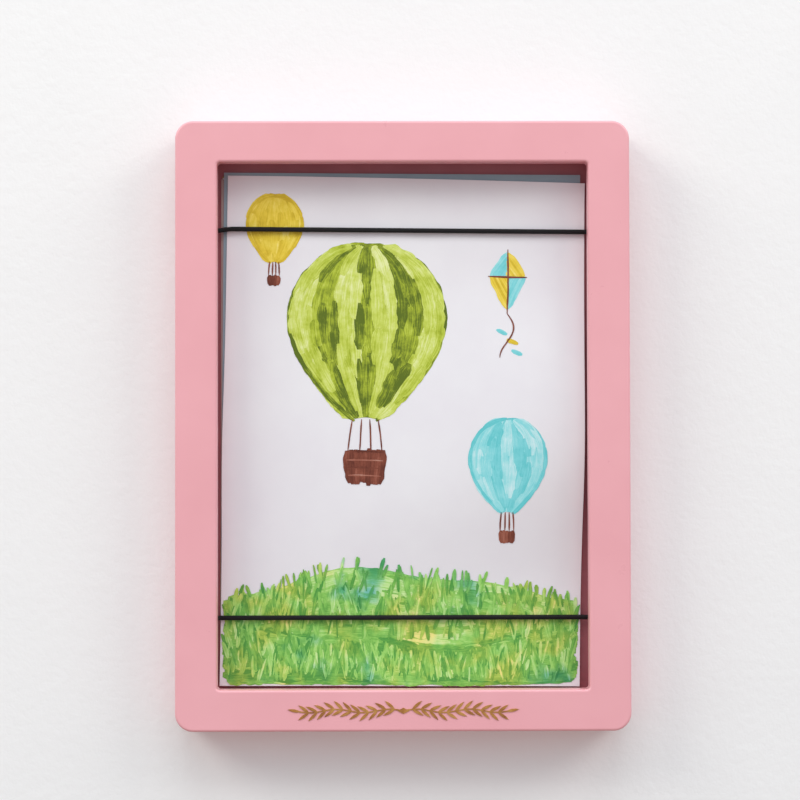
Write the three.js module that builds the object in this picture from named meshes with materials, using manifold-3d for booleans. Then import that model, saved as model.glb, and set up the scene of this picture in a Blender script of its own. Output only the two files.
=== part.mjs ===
// Art display frame for A4 sheets, as a three.js scene graph.
// Millimetres. +X is right, the front faces -Y, +Z is up.
// The wall is the plane y = 0. The origin is where the screw in the wall carries the upper hanger.

import * as THREE from 'three';
import { mergeVertices } from 'three/addons/utils/BufferGeometryUtils.js';
import Module from 'manifold-3d';

const wasm = await Module();
wasm.setup();

// Sheets of paper, A4 upright
const sheetWidth = 210;
const sheetHeight = 297;
const sheetThickness = 0.3;
const sheetGap = 0.3;
const artworkFootRise = 2.6;

// Front fascia, one ring cut from board
const sideMargin = 2.8;
const endMargin = 4.5;
const sideFaceWidth = 24.2;
const endFaceWidth = 24;
const fasciaThickness = 10;
const outerCornerRadius = 10.5;
const openingCornerRadius = 0.3;
const edgeRounding = 1.5;

// Rear box of two stiles and two rails
const recessUndercut = 2;
const panelLedge = 5;
const rearHollow = 5.6;

// Back panel and its screws
const panelThickness = 4;
const panelPlay = 0.4;
const panelScrewInset = 20;
const panelScrewLength = 11;
const panelScrewHeadDiameter = 4.2;
const panelScrewHeadHeight = 1.8;

// Screws of the panel and of the hangers share one shank
const screwShankDiameter = 2.2;
const screwTipLength = 1.6;
const screwClearance = 0.3;
const screwHeadRimShare = 0.45;
const screwHeadTopShare = 0.6;

// Elastic cords
const cordDiameter = 2.8;
const cordClearance = 0.3;
const cordHoleCover = 6;
const cordTail = 2;
const upperLeftHoleHeight = 114.5;
const upperRightHoleHeight = 113.7;
const lowerHoleHeight = -112.5;
const upperCordLift = 1.2;
const cordRestInset = 4;

// Pockets in the stiles for the ends of the cords, and the sleeves crimped on them
const pocketWall = 3;
const pocketWidth = 10;
const pocketLength = 18;
const sleeveLength = 6;
const sleeveWall = 0.9;

// Keyhole hangers
const hangerLength = 44;
const hangerWidth = 13;
const hangerThickness = 1.5;
const hangerCornerRadius = 2;
const hangerSetback = 1.4;
const hangerPlay = 0.3;
const hangerScrewInset = 6;
const hangerScrewLength = 9;
const hangerScrewHeadDiameter = 4;
const hangerScrewHeadHeight = 1.2;
const keyholeEntryRadius = 3.5;
const keyholeEntryDrop = 2.2;
const keyholeSlotWidth = 4.3;
const keyholeSlotRise = 3.2;
const headPocketRadius = 3.8;
const headPocketDepth = 5;

// Leaf scroll on the bottom of the fascia: two sprigs that grow out of a lozenge
const scrollLength = 134;
const scrollThickness = 0.35;
const stemWidth = 0.8;
const stemWave = 1;
const stemWaves = 2;
const leafPairs = 11;
const leafLength = 7.6;
const leafWidth = 1.8;
const leafAngle = 0.6;
const lozengeLength = 7;
const lozengeWidth = 3.6;

// Straight steps that stand for the round shapes
const cornerSteps = 8;
const easeSteps = 3;
const holeSteps = 12;
const arcSteps = 8;
const pocketArcSteps = 5;
const hangerArcSteps = 6;
const seatArcSteps = 4;
const leafArcSteps = 4;
const stemStepsPerWave = 10;
const screwSteps = 10;
const sleeveSteps = 16;
const cordSteps = 60;
const cordArcSteps = 4;

// Sizes that follow
const openingWidth = sheetWidth + 2 * sideMargin;
const openingHeight = sheetHeight + 2 * endMargin;
const frameWidth = openingWidth + 2 * sideFaceWidth;
const frameHeight = openingHeight + 2 * endFaceWidth;
const recessWidth = openingWidth + 2 * recessUndercut;
const recessHeight = openingHeight + 2 * recessUndercut;
const wellWidth = recessWidth + 2 * panelLedge;
const wellHeight = recessHeight + 2 * panelLedge;
const cordRadius = cordDiameter / 2;
const cordHoleRadius = cordRadius + cordClearance;
const shankHoleRadius = screwShankDiameter / 2 + screwClearance;

// How far the cuts run past the faces that they open
const overcut = 1;

// The sheets from front to back: where each lies and how it is turned, clockwise seen from the front
const sheets = [
  { name: 'artwork_sheet', x: 0, z: -3.5, turn: 0.92, footRise: artworkFootRise, color: 0xe9e2e6 },
  { name: 'stored_sheet_1', x: -1.1, z: -0.1, turn: 0.45, footRise: 0, color: 0xb9c3c9 },
  { name: 'stored_sheet_2', x: -1.8, z: -3.4, turn: 0.1, footRise: 0, color: 0xe4dfe2 },
  { name: 'stored_sheet_3', x: -1.6, z: -2.8, turn: 0.3, footRise: 0, color: 0xe6e2dc },
  { name: 'stored_sheet_4', x: -1.8, z: -2.0, turn: 0.3, footRise: 0, color: 0xb3a23c },
];

// Depths, counted back from the front face
const cordDepth = fasciaThickness + cordHoleCover + cordHoleRadius;
const firstSheetDepth = cordDepth + cordRadius + cordClearance;
const panelDepth = firstSheetDepth + sheets.length * (sheetThickness + sheetGap);
const panelBackDepth = panelDepth + panelThickness;
const frameDepth = panelBackDepth + rearHollow;
const atDepth = (depth) => depth - frameDepth;

// Heights of the two hangers' keyholes, from the middle of the frame
const topRailMiddle = (wellHeight + frameHeight) / 4;
const stileMiddle = (wellWidth + frameWidth) / 4;
const hangingHeight = topRailMiddle + keyholeSlotRise;

// Materials
const satin = (color) => new THREE.MeshStandardMaterial({ color, roughness: 0.42, metalness: 0 });
const pinkPaint = satin(0xe9a5b1);
const panelBoard = satin(0xe3a0ab);
const paper = (color) => new THREE.MeshStandardMaterial({ color, roughness: 0.9, metalness: 0 });
const cordElastic = new THREE.MeshStandardMaterial({ color: 0x141316, roughness: 0.85, metalness: 0 });
const sleeveBrass = new THREE.MeshStandardMaterial({ color: 0xb08d4a, roughness: 0.35, metalness: 1 });
const zincSteel = new THREE.MeshStandardMaterial({ color: 0xb9bcc0, roughness: 0.32, metalness: 1 });
const goldTrim = new THREE.MeshStandardMaterial({ color: 0x9c7238, roughness: 0.45, metalness: 0.6 });

// A closed solid from a geometry: only its positions count, and shared corners are merged
function solid(geometry) {
  const bare = geometry.index ? geometry.toNonIndexed() : geometry.clone();
  bare.deleteAttribute('normal');
  bare.deleteAttribute('uv');
  const merged = mergeVertices(bare, 1e-4);
  return new wasm.Manifold(new wasm.Mesh({
    numProp: 3,
    vertProperties: new Float32Array(merged.attributes.position.array),
    triVerts: new Uint32Array(merged.index.array),
  }));
}

// Back from a solid to a geometry for a mesh
function geometryOf(body) {
  const mesh = body.getMesh();
  const geometry = new THREE.BufferGeometry();
  geometry.setAttribute('position', new THREE.BufferAttribute(mesh.vertProperties, 3));
  geometry.setIndex(new THREE.BufferAttribute(mesh.triVerts, 1));
  geometry.computeVertexNormals();
  return geometry;
}

function cutAway(body, tools) {
  return tools.reduce((rest, tool) => rest.subtract(tool), body);
}

// A box between two corners
function boxBetween(low, high) {
  const size = high.map((value, axis) => value - low[axis]);
  const middle = high.map((value, axis) => (value + low[axis]) / 2);
  return new THREE.BoxGeometry(...size).translate(...middle);
}

// A round bar along X or along Y, between two places on that axis
function barAlongX(radius, from, to, y, z) {
  const geometry = new THREE.CylinderGeometry(radius, radius, Math.abs(to - from), holeSteps);
  return geometry.rotateZ(Math.PI / 2).translate((from + to) / 2, y, z);
}

function barAlongY(radius, from, to, x, z) {
  const geometry = new THREE.CylinderGeometry(radius, radius, to - from, holeSteps);
  return geometry.translate(x, (from + to) / 2, z);
}

// A plate cut to an outline drawn as seen from the front, between two places on Y
function plate(outline, frontY, backY, curveSegments = arcSteps) {
  const geometry = new THREE.ExtrudeGeometry(outline, {
    depth: backY - frontY,
    bevelEnabled: false,
    curveSegments,
  });
  return geometry.rotateX(Math.PI / 2).translate(0, backY, 0);
}

// A slot with two round ends, along Z
function slotOutline(radius, lowZ, highZ, x = 0) {
  const shape = new THREE.Shape();
  shape.absarc(x, highZ, radius, 0, Math.PI);
  shape.absarc(x, lowZ, radius, Math.PI, 2 * Math.PI);
  return shape;
}

// Points round a rectangle with rounded corners, the same number for every size
function roundedLoop(halfWidth, halfHeight, radius, y) {
  const corners = [
    [halfWidth - radius, halfHeight - radius, 0],
    [radius - halfWidth, halfHeight - radius, 1],
    [radius - halfWidth, radius - halfHeight, 2],
    [halfWidth - radius, radius - halfHeight, 3],
  ];
  return corners.flatMap(([x, z, quarter]) => Array.from({ length: cornerSteps + 1 }, (_, step) => {
    const angle = (quarter + step / cornerSteps) * Math.PI / 2;
    return [x + radius * Math.cos(angle), y, z + radius * Math.sin(angle)];
  }));
}

// A ring whose section runs through these loops and closes on itself
function ringThrough(loops) {
  const around = loops[0].length;
  const index = [];
  loops.forEach((_, row) => {
    const next = (row + 1) % loops.length;
    for (let k = 0; k < around; k += 1) {
      const k1 = (k + 1) % around;
      const a = row * around + k;
      const b = row * around + k1;
      const c = next * around + k1;
      const d = next * around + k;
      index.push(a, b, c, a, c, d);
    }
  });
  const geometry = new THREE.BufferGeometry();
  geometry.setAttribute('position', new THREE.Float32BufferAttribute(loops.flat(2), 3));
  geometry.setIndex(index);
  return geometry;
}

// Front fascia: a flat ring with eased front edges outside and inside
function fasciaGeometry() {
  const front = atDepth(0);
  const back = atDepth(fasciaThickness);
  const angles = Array.from({ length: easeSteps + 1 }, (_, step) => step / easeSteps * Math.PI / 2);
  const outer = angles.map((angle) => {
    const inset = edgeRounding * (1 - Math.cos(angle));
    const y = front + edgeRounding * (1 - Math.sin(angle));
    return roundedLoop(frameWidth / 2 - inset, frameHeight / 2 - inset, outerCornerRadius - inset, y);
  });
  const inner = angles.toReversed().map((angle) => {
    const ease = edgeRounding * (1 - Math.cos(angle));
    const y = front + edgeRounding * (1 - Math.sin(angle));
    return roundedLoop(openingWidth / 2 + ease, openingHeight / 2 + ease, openingCornerRadius + ease, y);
  });
  return ringThrough([
    roundedLoop(frameWidth / 2, frameHeight / 2, outerCornerRadius, back),
    ...outer,
    ...inner,
    roundedLoop(openingWidth / 2, openingHeight / 2, openingCornerRadius, back),
  ]);
}

// The well behind the sheets that the back panel drops into, open to the rear
const well = solid(boxBetween(
  [-wellWidth / 2, atDepth(panelDepth), -wellHeight / 2],
  [wellWidth / 2, overcut, wellHeight / 2],
));

// Where the panel screws stand
const screwColumn = (recessWidth + panelLedge) / 2;
const screwRow = (recessHeight + panelLedge) / 2;
const screwReach = recessHeight / 2 - panelScrewInset;
const panelScrews = [
  [-screwColumn, screwReach], [-screwColumn, 0], [-screwColumn, -screwReach],
  [screwColumn, screwReach], [screwColumn, 0], [screwColumn, -screwReach],
  [0, screwRow], [0, -screwRow],
];
const panelScrewHoles = panelScrews.map(([x, z]) => {
  const tip = atDepth(panelBackDepth - panelScrewLength - screwClearance);
  return solid(barAlongY(shankHoleRadius, tip, atDepth(panelBackDepth) + overcut, x, z));
});

// The ends of the cords: side is -1 on the left and 1 on the right
const cordEnds = [
  { name: 'upper_left', side: -1, z: upperLeftHoleHeight },
  { name: 'upper_right', side: 1, z: upperRightHoleHeight },
  { name: 'lower_left', side: -1, z: lowerHoleHeight },
  { name: 'lower_right', side: 1, z: lowerHoleHeight },
];
const pocketInnerX = wellWidth / 2 + pocketWall;

function cordEndCuts({ side, z }) {
  const mouth = side * (recessWidth / 2 - overcut);
  const hole = barAlongX(cordHoleRadius, mouth, side * (pocketInnerX + overcut), atDepth(cordDepth), z);
  const radius = pocketWidth / 2;
  const reach = pocketLength / 2 - radius;
  const outline = slotOutline(radius, z - reach, z + reach, side * (pocketInnerX + radius));
  const pocket = plate(outline, atDepth(fasciaThickness) - overcut, overcut, pocketArcSteps);
  return [solid(hole), solid(pocket)];
}

// A keyhole hanger lies flat at the back. Its own frame has the keyhole's rise along +Z
function hangerOutline(grow = 0) {
  const halfLength = hangerLength / 2 + grow;
  const halfWidth = hangerWidth / 2 + grow;
  const radius = hangerCornerRadius + grow;
  const shape = new THREE.Shape();
  shape.absarc(halfLength - radius, halfWidth - radius, radius, 0, Math.PI / 2);
  shape.absarc(radius - halfLength, halfWidth - radius, radius, Math.PI / 2, Math.PI);
  shape.absarc(radius - halfLength, radius - halfWidth, radius, Math.PI, 1.5 * Math.PI);
  shape.absarc(halfLength - radius, radius - halfWidth, radius, 1.5 * Math.PI, 2 * Math.PI);
  return shape;
}

function keyholeOutline() {
  const half = keyholeSlotWidth / 2;
  const meet = Math.asin(half / keyholeEntryRadius);
  const shape = new THREE.Path();
  shape.absarc(0, keyholeSlotRise, half, 0, Math.PI);
  shape.absarc(0, -keyholeEntryDrop, keyholeEntryRadius, Math.PI / 2 + meet, 2.5 * Math.PI - meet);
  return shape;
}

const hangerScrewReach = hangerLength / 2 - hangerScrewInset;
const hangerScrewPlaces = [-hangerScrewReach, hangerScrewReach];
const hangerPlateBack = -hangerSetback;
const hangerPlateFront = hangerPlateBack - hangerThickness;

function hangerPlateGeometry() {
  const outline = hangerOutline();
  outline.holes.push(keyholeOutline());
  hangerScrewPlaces.forEach((x) => {
    const hole = new THREE.Path();
    hole.absarc(x, 0, shankHoleRadius, 0, 2 * Math.PI);
    outline.holes.push(hole);
  });
  return plate(outline, hangerPlateFront, hangerPlateBack, hangerArcSteps);
}

// What the hanger needs cut out of the member behind it
function hangerSeat() {
  const seat = plate(hangerOutline(hangerPlay), hangerPlateFront, overcut, seatArcSteps);
  const headSlot = slotOutline(headPocketRadius, -keyholeEntryDrop, keyholeSlotRise);
  const headPocketFront = hangerPlateFront - headPocketDepth;
  const headPocket = plate(headSlot, headPocketFront, hangerPlateFront + overcut, hangerArcSteps);
  const tip = hangerPlateBack - hangerScrewLength - screwClearance;
  const holes = hangerScrewPlaces.map((x) => {
    return barAlongY(shankHoleRadius, tip, hangerPlateFront + overcut, x, 0);
  });
  return [seat, headPocket, ...holes];
}

const uprightHangerPlace = new THREE.Matrix4().makeTranslation(0, 0, topRailMiddle);
const sidewaysHangerPlace = new THREE.Matrix4()
  .makeTranslation(-stileMiddle, 0, 0)
  .multiply(new THREE.Matrix4().makeRotationY(-Math.PI / 2));

// A stile: upright side of the box, with the two rounded corners of its side
function stileOutline(side) {
  const inside = recessWidth / 2;
  const outside = frameWidth / 2;
  const top = frameHeight / 2;
  const shape = new THREE.Shape();
  shape.moveTo(inside, -top);
  shape.lineTo(outside - outerCornerRadius, -top);
  shape.absarc(outside - outerCornerRadius, outerCornerRadius - top, outerCornerRadius, -Math.PI / 2, 0);
  shape.absarc(outside - outerCornerRadius, top - outerCornerRadius, outerCornerRadius, 0, Math.PI / 2);
  shape.lineTo(inside, top);
  const points = shape.getPoints(cornerSteps / 2);
  return new THREE.Shape(points.map((point) => new THREE.Vector2(side * point.x, point.y)));
}

function stileGeometry(side, extraCuts) {
  const ends = cordEnds.filter((end) => end.side === side).flatMap(cordEndCuts);
  const blank = solid(plate(stileOutline(side), atDepth(fasciaThickness), 0));
  return geometryOf(cutAway(blank, [well, ...panelScrewHoles, ...ends, ...extraCuts]));
}

// A rail: top or bottom of the box, between the stiles
function railGeometry(side, extraCuts) {
  const heights = [side * recessHeight / 2, side * frameHeight / 2].sort((a, b) => a - b);
  const blank = solid(boxBetween(
    [-recessWidth / 2, atDepth(fasciaThickness), heights[0]],
    [recessWidth / 2, 0, heights[1]],
  ));
  return geometryOf(cutAway(blank, [well, ...panelScrewHoles, ...extraCuts]));
}

function backPanelGeometry() {
  const halfWidth = wellWidth / 2 - panelPlay;
  const halfHeight = wellHeight / 2 - panelPlay;
  const board = solid(boxBetween(
    [-halfWidth, atDepth(panelDepth), -halfHeight],
    [halfWidth, atDepth(panelBackDepth), halfHeight],
  ));
  return geometryOf(cutAway(board, panelScrewHoles));
}

// A pan head screw along -Y, with the underside of its head at y = 0
function screwGeometry(headDiameter, headHeight, length) {
  const head = headDiameter / 2;
  const shank = screwShankDiameter / 2;
  const profile = [
    [0, -length],
    [shank, screwTipLength - length],
    [shank, 0],
    [head, 0],
    [head, headHeight * screwHeadRimShare],
    [head * screwHeadTopShare, headHeight],
    [0, headHeight],
  ].map(([radius, height]) => new THREE.Vector2(radius, height));
  return new THREE.LatheGeometry(profile, screwSteps);
}

// A sheet of paper. Its foot is trimmed askew, and ends higher at the right than at the left by footRise
function sheetGeometry(footRise) {
  const geometry = new THREE.BoxGeometry(sheetWidth, sheetThickness, sheetHeight);
  const corners = geometry.attributes.position;
  for (let k = 0; k < corners.count; k += 1) {
    if (corners.getZ(k) < 0) {
      corners.setZ(k, corners.getZ(k) + (footRise * corners.getX(k)) / sheetWidth);
    }
  }
  return geometry;
}

// A cord from the tail at its left end to the tail at its right end. The sheets' left edges lift it a little
function cordGeometry(leftZ, rightZ, lift) {
  const y = atDepth(cordDepth);
  const end = pocketInnerX + sleeveLength + cordTail;
  const route = new THREE.CurvePath();
  const points = [
    new THREE.Vector3(-end, y, leftZ),
    new THREE.Vector3(-recessWidth / 2, y, leftZ),
    new THREE.Vector3(cordRestInset - sheetWidth / 2, y, leftZ + lift),
    new THREE.Vector3(recessWidth / 2, y, rightZ),
    new THREE.Vector3(end, y, rightZ),
  ];
  points.slice(1).forEach((point, k) => route.add(new THREE.LineCurve3(points[k], point)));
  const section = new THREE.Shape();
  section.absarc(0, 0, cordRadius, 0, 2 * Math.PI);
  return new THREE.ExtrudeGeometry(section, {
    steps: cordSteps,
    curveSegments: cordArcSteps,
    bevelEnabled: false,
    extrudePath: route,
  });
}

// A sleeve crimped on the end of a cord, along X, seated on the inner wall of its pocket
function sleeveGeometry() {
  const bore = cordRadius + cordClearance;
  const outside = bore + sleeveWall;
  const profile = [
    [bore, 0],
    [outside, 0],
    [outside, sleeveLength],
    [bore, sleeveLength],
    [bore, 0],
  ].map(([radius, height]) => new THREE.Vector2(radius, height));
  return new THREE.LatheGeometry(profile, sleeveSteps).rotateZ(-Math.PI / 2);
}

// A leaf from its stalk at 0 to its tip on +X. Its curves reach 3/4 of the way to their control points
function leafOutline() {
  const bulge = leafWidth * 2 / 3;
  const shape = new THREE.Shape();
  shape.moveTo(0, 0);
  shape.bezierCurveTo(leafLength / 4, -bulge, leafLength * 2 / 3, -bulge, leafLength, 0);
  shape.bezierCurveTo(leafLength * 2 / 3, bulge, leafLength / 4, bulge, 0, 0);
  return shape;
}

// One half of the leaf scroll: a waving stem with pairs of leaves along it and one at its end
function sprig(front, back) {
  const endLeafX = scrollLength / 2 - leafLength;
  const stemLength = endLeafX + leafLength / 3;
  const turn = 2 * Math.PI * stemWaves / stemLength;
  const heightAt = (x) => stemWave * Math.sin(turn * x);
  const leanAt = (x) => Math.atan(stemWave * turn * Math.cos(turn * x));
  const steps = stemStepsPerWave * stemWaves;
  const edge = (side) => Array.from({ length: steps + 1 }, (_, step) => {
    const x = stemLength * step / steps;
    const half = side * stemWidth / 2;
    return new THREE.Vector2(x - half * Math.sin(leanAt(x)), heightAt(x) + half * Math.cos(leanAt(x)));
  });
  const stem = solid(plate(new THREE.Shape([...edge(-1), ...edge(1).reverse()]), front, back));
  const leafAt = (x, angle) => {
    const leaf = plate(leafOutline(), front, back, leafArcSteps);
    return solid(leaf.rotateY(-(leanAt(x) + angle)).translate(x, 0, heightAt(x)));
  };
  const pairs = Array.from({ length: leafPairs }, (_, pair) => endLeafX * (pair + 1) / (leafPairs + 1));
  const leaves = pairs.flatMap((x) => [leafAt(x, leafAngle), leafAt(x, -leafAngle)]);
  return [...leaves, leafAt(endLeafX, 0)].reduce((body, leaf) => body.add(leaf), stem);
}

function leafScrollGeometry() {
  const front = atDepth(0) - scrollThickness;
  const back = atDepth(0);
  const lozenge = new THREE.Shape([
    new THREE.Vector2(-lozengeLength / 2, 0),
    new THREE.Vector2(0, -lozengeWidth / 2),
    new THREE.Vector2(lozengeLength / 2, 0),
    new THREE.Vector2(0, lozengeWidth / 2),
  ]);
  const right = sprig(front, back);
  const left = right.mirror([1, 0, 0]);
  return geometryOf(solid(plate(lozenge, front, back)).add(right).add(left));
}

// Assembly
const frame = new THREE.Group();
const assembly = new THREE.Group();
assembly.position.z = -hangingHeight;
frame.add(assembly);

function place(name, geometry, material, position = [0, 0, 0]) {
  const mesh = new THREE.Mesh(geometry, material);
  mesh.name = name;
  mesh.position.set(...position);
  assembly.add(mesh);
  return mesh;
}

place('front_fascia', fasciaGeometry(), pinkPaint);
const uprightSeat = hangerSeat().map((tool) => solid(tool.applyMatrix4(uprightHangerPlace)));
const sidewaysSeat = hangerSeat().map((tool) => solid(tool.applyMatrix4(sidewaysHangerPlace)));
place('top_rail', railGeometry(1, uprightSeat), pinkPaint);
place('bottom_rail', railGeometry(-1, []), pinkPaint);
place('left_stile', stileGeometry(-1, sidewaysSeat), pinkPaint);
place('right_stile', stileGeometry(1, []), pinkPaint);

place('back_panel', backPanelGeometry(), panelBoard);
panelScrews.forEach(([x, z], k) => {
  const geometry = screwGeometry(panelScrewHeadDiameter, panelScrewHeadHeight, panelScrewLength);
  place(`panel_screw_${k + 1}`, geometry, zincSteel, [x, atDepth(panelBackDepth), z]);
});

place('upper_elastic', cordGeometry(upperLeftHoleHeight, upperRightHoleHeight, upperCordLift), cordElastic);
place('lower_elastic', cordGeometry(lowerHoleHeight, lowerHoleHeight, 0), cordElastic);
cordEnds.forEach(({ name, side, z }) => {
  const geometry = side > 0 ? sleeveGeometry() : sleeveGeometry().rotateY(Math.PI);
  place(`${name}_sleeve`, geometry, sleeveBrass, [side * pocketInnerX, atDepth(cordDepth), z]);
});

const hangers = [
  { name: 'upright_hanger', at: uprightHangerPlace },
  { name: 'sideways_hanger', at: sidewaysHangerPlace },
];
hangers.forEach(({ name, at }) => {
  place(name, hangerPlateGeometry().applyMatrix4(at), zincSteel);
  hangerScrewPlaces.forEach((x, k) => {
    const geometry = screwGeometry(hangerScrewHeadDiameter, hangerScrewHeadHeight, hangerScrewLength);
    geometry.translate(x, hangerPlateBack, 0).applyMatrix4(at);
    place(`${name}_screw_${k + 1}`, geometry, zincSteel);
  });
});

sheets.forEach(({ name, x, z, turn, footRise, color }, k) => {
  const geometry = sheetGeometry(footRise);
  const depth = firstSheetDepth + k * (sheetThickness + sheetGap) + sheetThickness / 2;
  const sheet = place(name, geometry, paper(color), [x, atDepth(depth), z]);
  sheet.rotation.y = THREE.MathUtils.degToRad(turn);
});

place('leaf_scroll', leafScrollGeometry(), goldTrim, [0, 0, -(openingHeight + frameHeight) / 4]);

export default frame;
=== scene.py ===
# Art display frame for A4 sheets, hung upright on a wall, with a painting held by two elastic cords

import math
import random

import bpy
import numpy as np
from mathutils import Matrix, Vector


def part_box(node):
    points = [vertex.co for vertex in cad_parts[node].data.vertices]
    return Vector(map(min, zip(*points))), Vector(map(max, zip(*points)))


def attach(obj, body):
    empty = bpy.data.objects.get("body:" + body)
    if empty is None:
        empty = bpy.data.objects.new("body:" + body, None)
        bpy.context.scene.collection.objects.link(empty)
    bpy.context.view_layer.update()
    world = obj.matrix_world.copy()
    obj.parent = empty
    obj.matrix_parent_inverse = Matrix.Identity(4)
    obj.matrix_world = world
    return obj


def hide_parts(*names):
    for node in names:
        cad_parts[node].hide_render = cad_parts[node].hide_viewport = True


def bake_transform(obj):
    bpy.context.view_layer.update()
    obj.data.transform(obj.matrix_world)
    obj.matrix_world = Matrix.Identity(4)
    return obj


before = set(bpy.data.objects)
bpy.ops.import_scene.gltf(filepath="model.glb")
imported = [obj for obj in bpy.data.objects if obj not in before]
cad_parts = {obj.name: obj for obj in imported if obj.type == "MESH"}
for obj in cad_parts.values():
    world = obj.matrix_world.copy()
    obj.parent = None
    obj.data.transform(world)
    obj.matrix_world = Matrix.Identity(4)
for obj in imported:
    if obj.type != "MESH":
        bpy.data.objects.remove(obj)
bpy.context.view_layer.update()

# Sizes in millimetres, about the middle of the frame's outline and back from its front face
FASCIA_LOW, FASCIA_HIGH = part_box("front_fascia")
MIDDLE_Z = (FASCIA_LOW.z + FASCIA_HIGH.z) / 2
FRONT_Y = FASCIA_LOW.y
FRAME_WIDTH = (FASCIA_HIGH.x - FASCIA_LOW.x) * 1000
FRAME_HEIGHT = (FASCIA_HIGH.z - FASCIA_LOW.z) * 1000
FASCIA_THICKNESS = (FASCIA_HIGH.y - FASCIA_LOW.y) * 1000
OPENING_WIDTH = 215.6
OPENING_HEIGHT = 306
OUTER_CORNER_RADIUS = 10.5
OPENING_CORNER_RADIUS = 1.9
EDGE_ROUNDING = 1.5
SHEET_WIDTH = 210
SHEET_HEIGHT = 297
SHEET_THICKNESS = 0.25
CORD_RADIUS = 1.4
CORD_LOW, CORD_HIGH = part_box("upper_elastic")
CORD_DEPTH = ((CORD_LOW.y + CORD_HIGH.y) / 2 - FRONT_Y) * 1000
RECESS_SIDE = 109.8
CORD_END = 125.8

# Heights of each cord at the left and right wall, and how far and where paper lifts the upper one
UPPER_CORD = (114.5, 113.7)
LOWER_CORD = (-112.5, -112.5)
UPPER_CORD_LIFT = 1.2
CORD_REST = 4 - SHEET_WIDTH / 2

# Heights at which the cords hold a sheet, from the middle of the sheet
HELD_ABOVE = 118.2
HELD_BELOW = -109


def at(x, depth, z):
    """A place in the row frame from millimetres across, back and up."""
    return Vector((x / 1000, FRONT_Y + depth / 1000, MIDDLE_Z + z / 1000))


# Materials


def screen(red, green, blue):
    """The linear colour of a colour as a screen shows it, each part 0 to 255."""
    parts = [c / 255 for c in (red, green, blue)]
    return tuple(((c + 0.055) / 1.055) ** 2.4 if c > 0.04 else c / 12.92 for c in parts) + (1.0,)


class Nodes:
    """A node tree under construction."""

    def __init__(self, owner):
        owner.use_nodes = True
        self.tree = owner.node_tree
        self.tree.nodes.clear()

    def add(self, kind, inputs=None, **settings):
        """A new node. Each of its inputs is a socket to link or a plain value."""
        node = self.tree.nodes.new(kind)
        for name, value in settings.items():
            setattr(node, name, value)
        for key, value in (inputs or {}).items():
            if isinstance(value, bpy.types.NodeSocket):
                self.tree.links.new(value, node.inputs[key])
            else:
                node.inputs[key].default_value = value
        return node

    def place(self, kind="Object"):
        return self.add("ShaderNodeTexCoord").outputs[kind]

    def parts(self, vector):
        return self.add("ShaderNodeSeparateXYZ", {"Vector": vector}).outputs

    def stretched(self, vector, scale):
        return self.add("ShaderNodeMapping", {"Vector": vector, "Scale": scale}).outputs["Vector"]

    def noise(self, vector, scale, detail, rough=0.5):
        inputs = {"Vector": vector, "Scale": scale, "Detail": detail, "Roughness": rough}
        return self.add("ShaderNodeTexNoise", inputs).outputs["Fac"]

    def math(self, operation, first, second=0.0):
        return self.add("ShaderNodeMath", {0: first, 1: second}, operation=operation).outputs[0]

    def range(self, value, low, high, to_low=0.0, to_high=1.0):
        inputs = {"Value": value, "From Min": low, "From Max": high, "To Min": to_low, "To Max": to_high}
        return self.add("ShaderNodeMapRange", inputs).outputs["Result"]

    def ramp(self, value, stops):
        node = self.add("ShaderNodeValToRGB", {"Fac": value})
        elements = node.color_ramp.elements
        while len(elements) < len(stops):
            elements.new(0.5)
        for element, (position, color) in zip(elements, stops):
            element.position = position
            element.color = color
        return node.outputs["Color"]

    def mix(self, factor, first, second, blend="MIX"):
        node = self.add("ShaderNodeMix", {0: factor, 6: first, 7: second}, data_type="RGBA", blend_type=blend)
        return node.outputs[2]

    def bump(self, height, distance, strength=1.0, normal=None):
        inputs = {"Height": height, "Distance": distance, "Strength": strength}
        if normal is not None:
            inputs["Normal"] = normal
        return self.add("ShaderNodeBump", inputs).outputs["Normal"]

    def soft_edges(self, radius):
        return self.add("ShaderNodeBevel", {"Radius": radius}, samples=4).outputs["Normal"]


class Shader(Nodes):
    """A node material under construction."""

    def __init__(self, name):
        self.material = bpy.data.materials.new(name)
        super().__init__(self.material)
        self.output = self.add("ShaderNodeOutputMaterial")

    def surface(self, color, roughness, normal, specular=0.5, metallic=0.0, sheen=0.0):
        """The finished material."""
        inputs = {
            "Base Color": color,
            "Roughness": roughness,
            "Normal": normal,
            "Specular IOR Level": specular,
            "Metallic": metallic,
            "Sheen Weight": sheen,
        }
        node = self.add("ShaderNodeBsdfPrincipled", inputs)
        self.tree.links.new(node.outputs["BSDF"], self.output.inputs["Surface"])
        return self.material


def satin_paint(name, dark, light):
    """Sprayed satin paint on smooth board: faint clouding, orange peel and a little dust under the coat."""
    shader = Shader(name)
    place = shader.place()
    cloud = shader.noise(place, 22.0, 3.0, 0.55)
    color = shader.ramp(cloud, [(0.3, dark), (0.7, light)])
    peel = shader.noise(place, 620.0, 1.5, 0.4)
    brushed = shader.noise(place, 95.0, 3.0, 0.6)
    height = shader.math("ADD", peel, shader.math("MULTIPLY", brushed, 2.5))
    normal = shader.bump(height, 0.000012, 0.8, shader.soft_edges(0.0004))
    rough = shader.range(shader.noise(place, 60.0, 4.0, 0.6), 0.3, 0.7, 0.27, 0.36)
    return shader.surface(color, rough, normal)


def swell(shader, slopes):
    """Height of a soft rise in a sheet. Each slope is a place along the sheet, its foot and its crest."""
    height = 1.0
    for value, foot, crest in slopes:
        inputs = {"Value": value, "From Min": foot, "From Max": crest}
        slope = shader.add("ShaderNodeMapRange", inputs, interpolation_type="SMOOTHSTEP").outputs["Result"]
        height = shader.math("MULTIPLY", slope, height)
    return height


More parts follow.
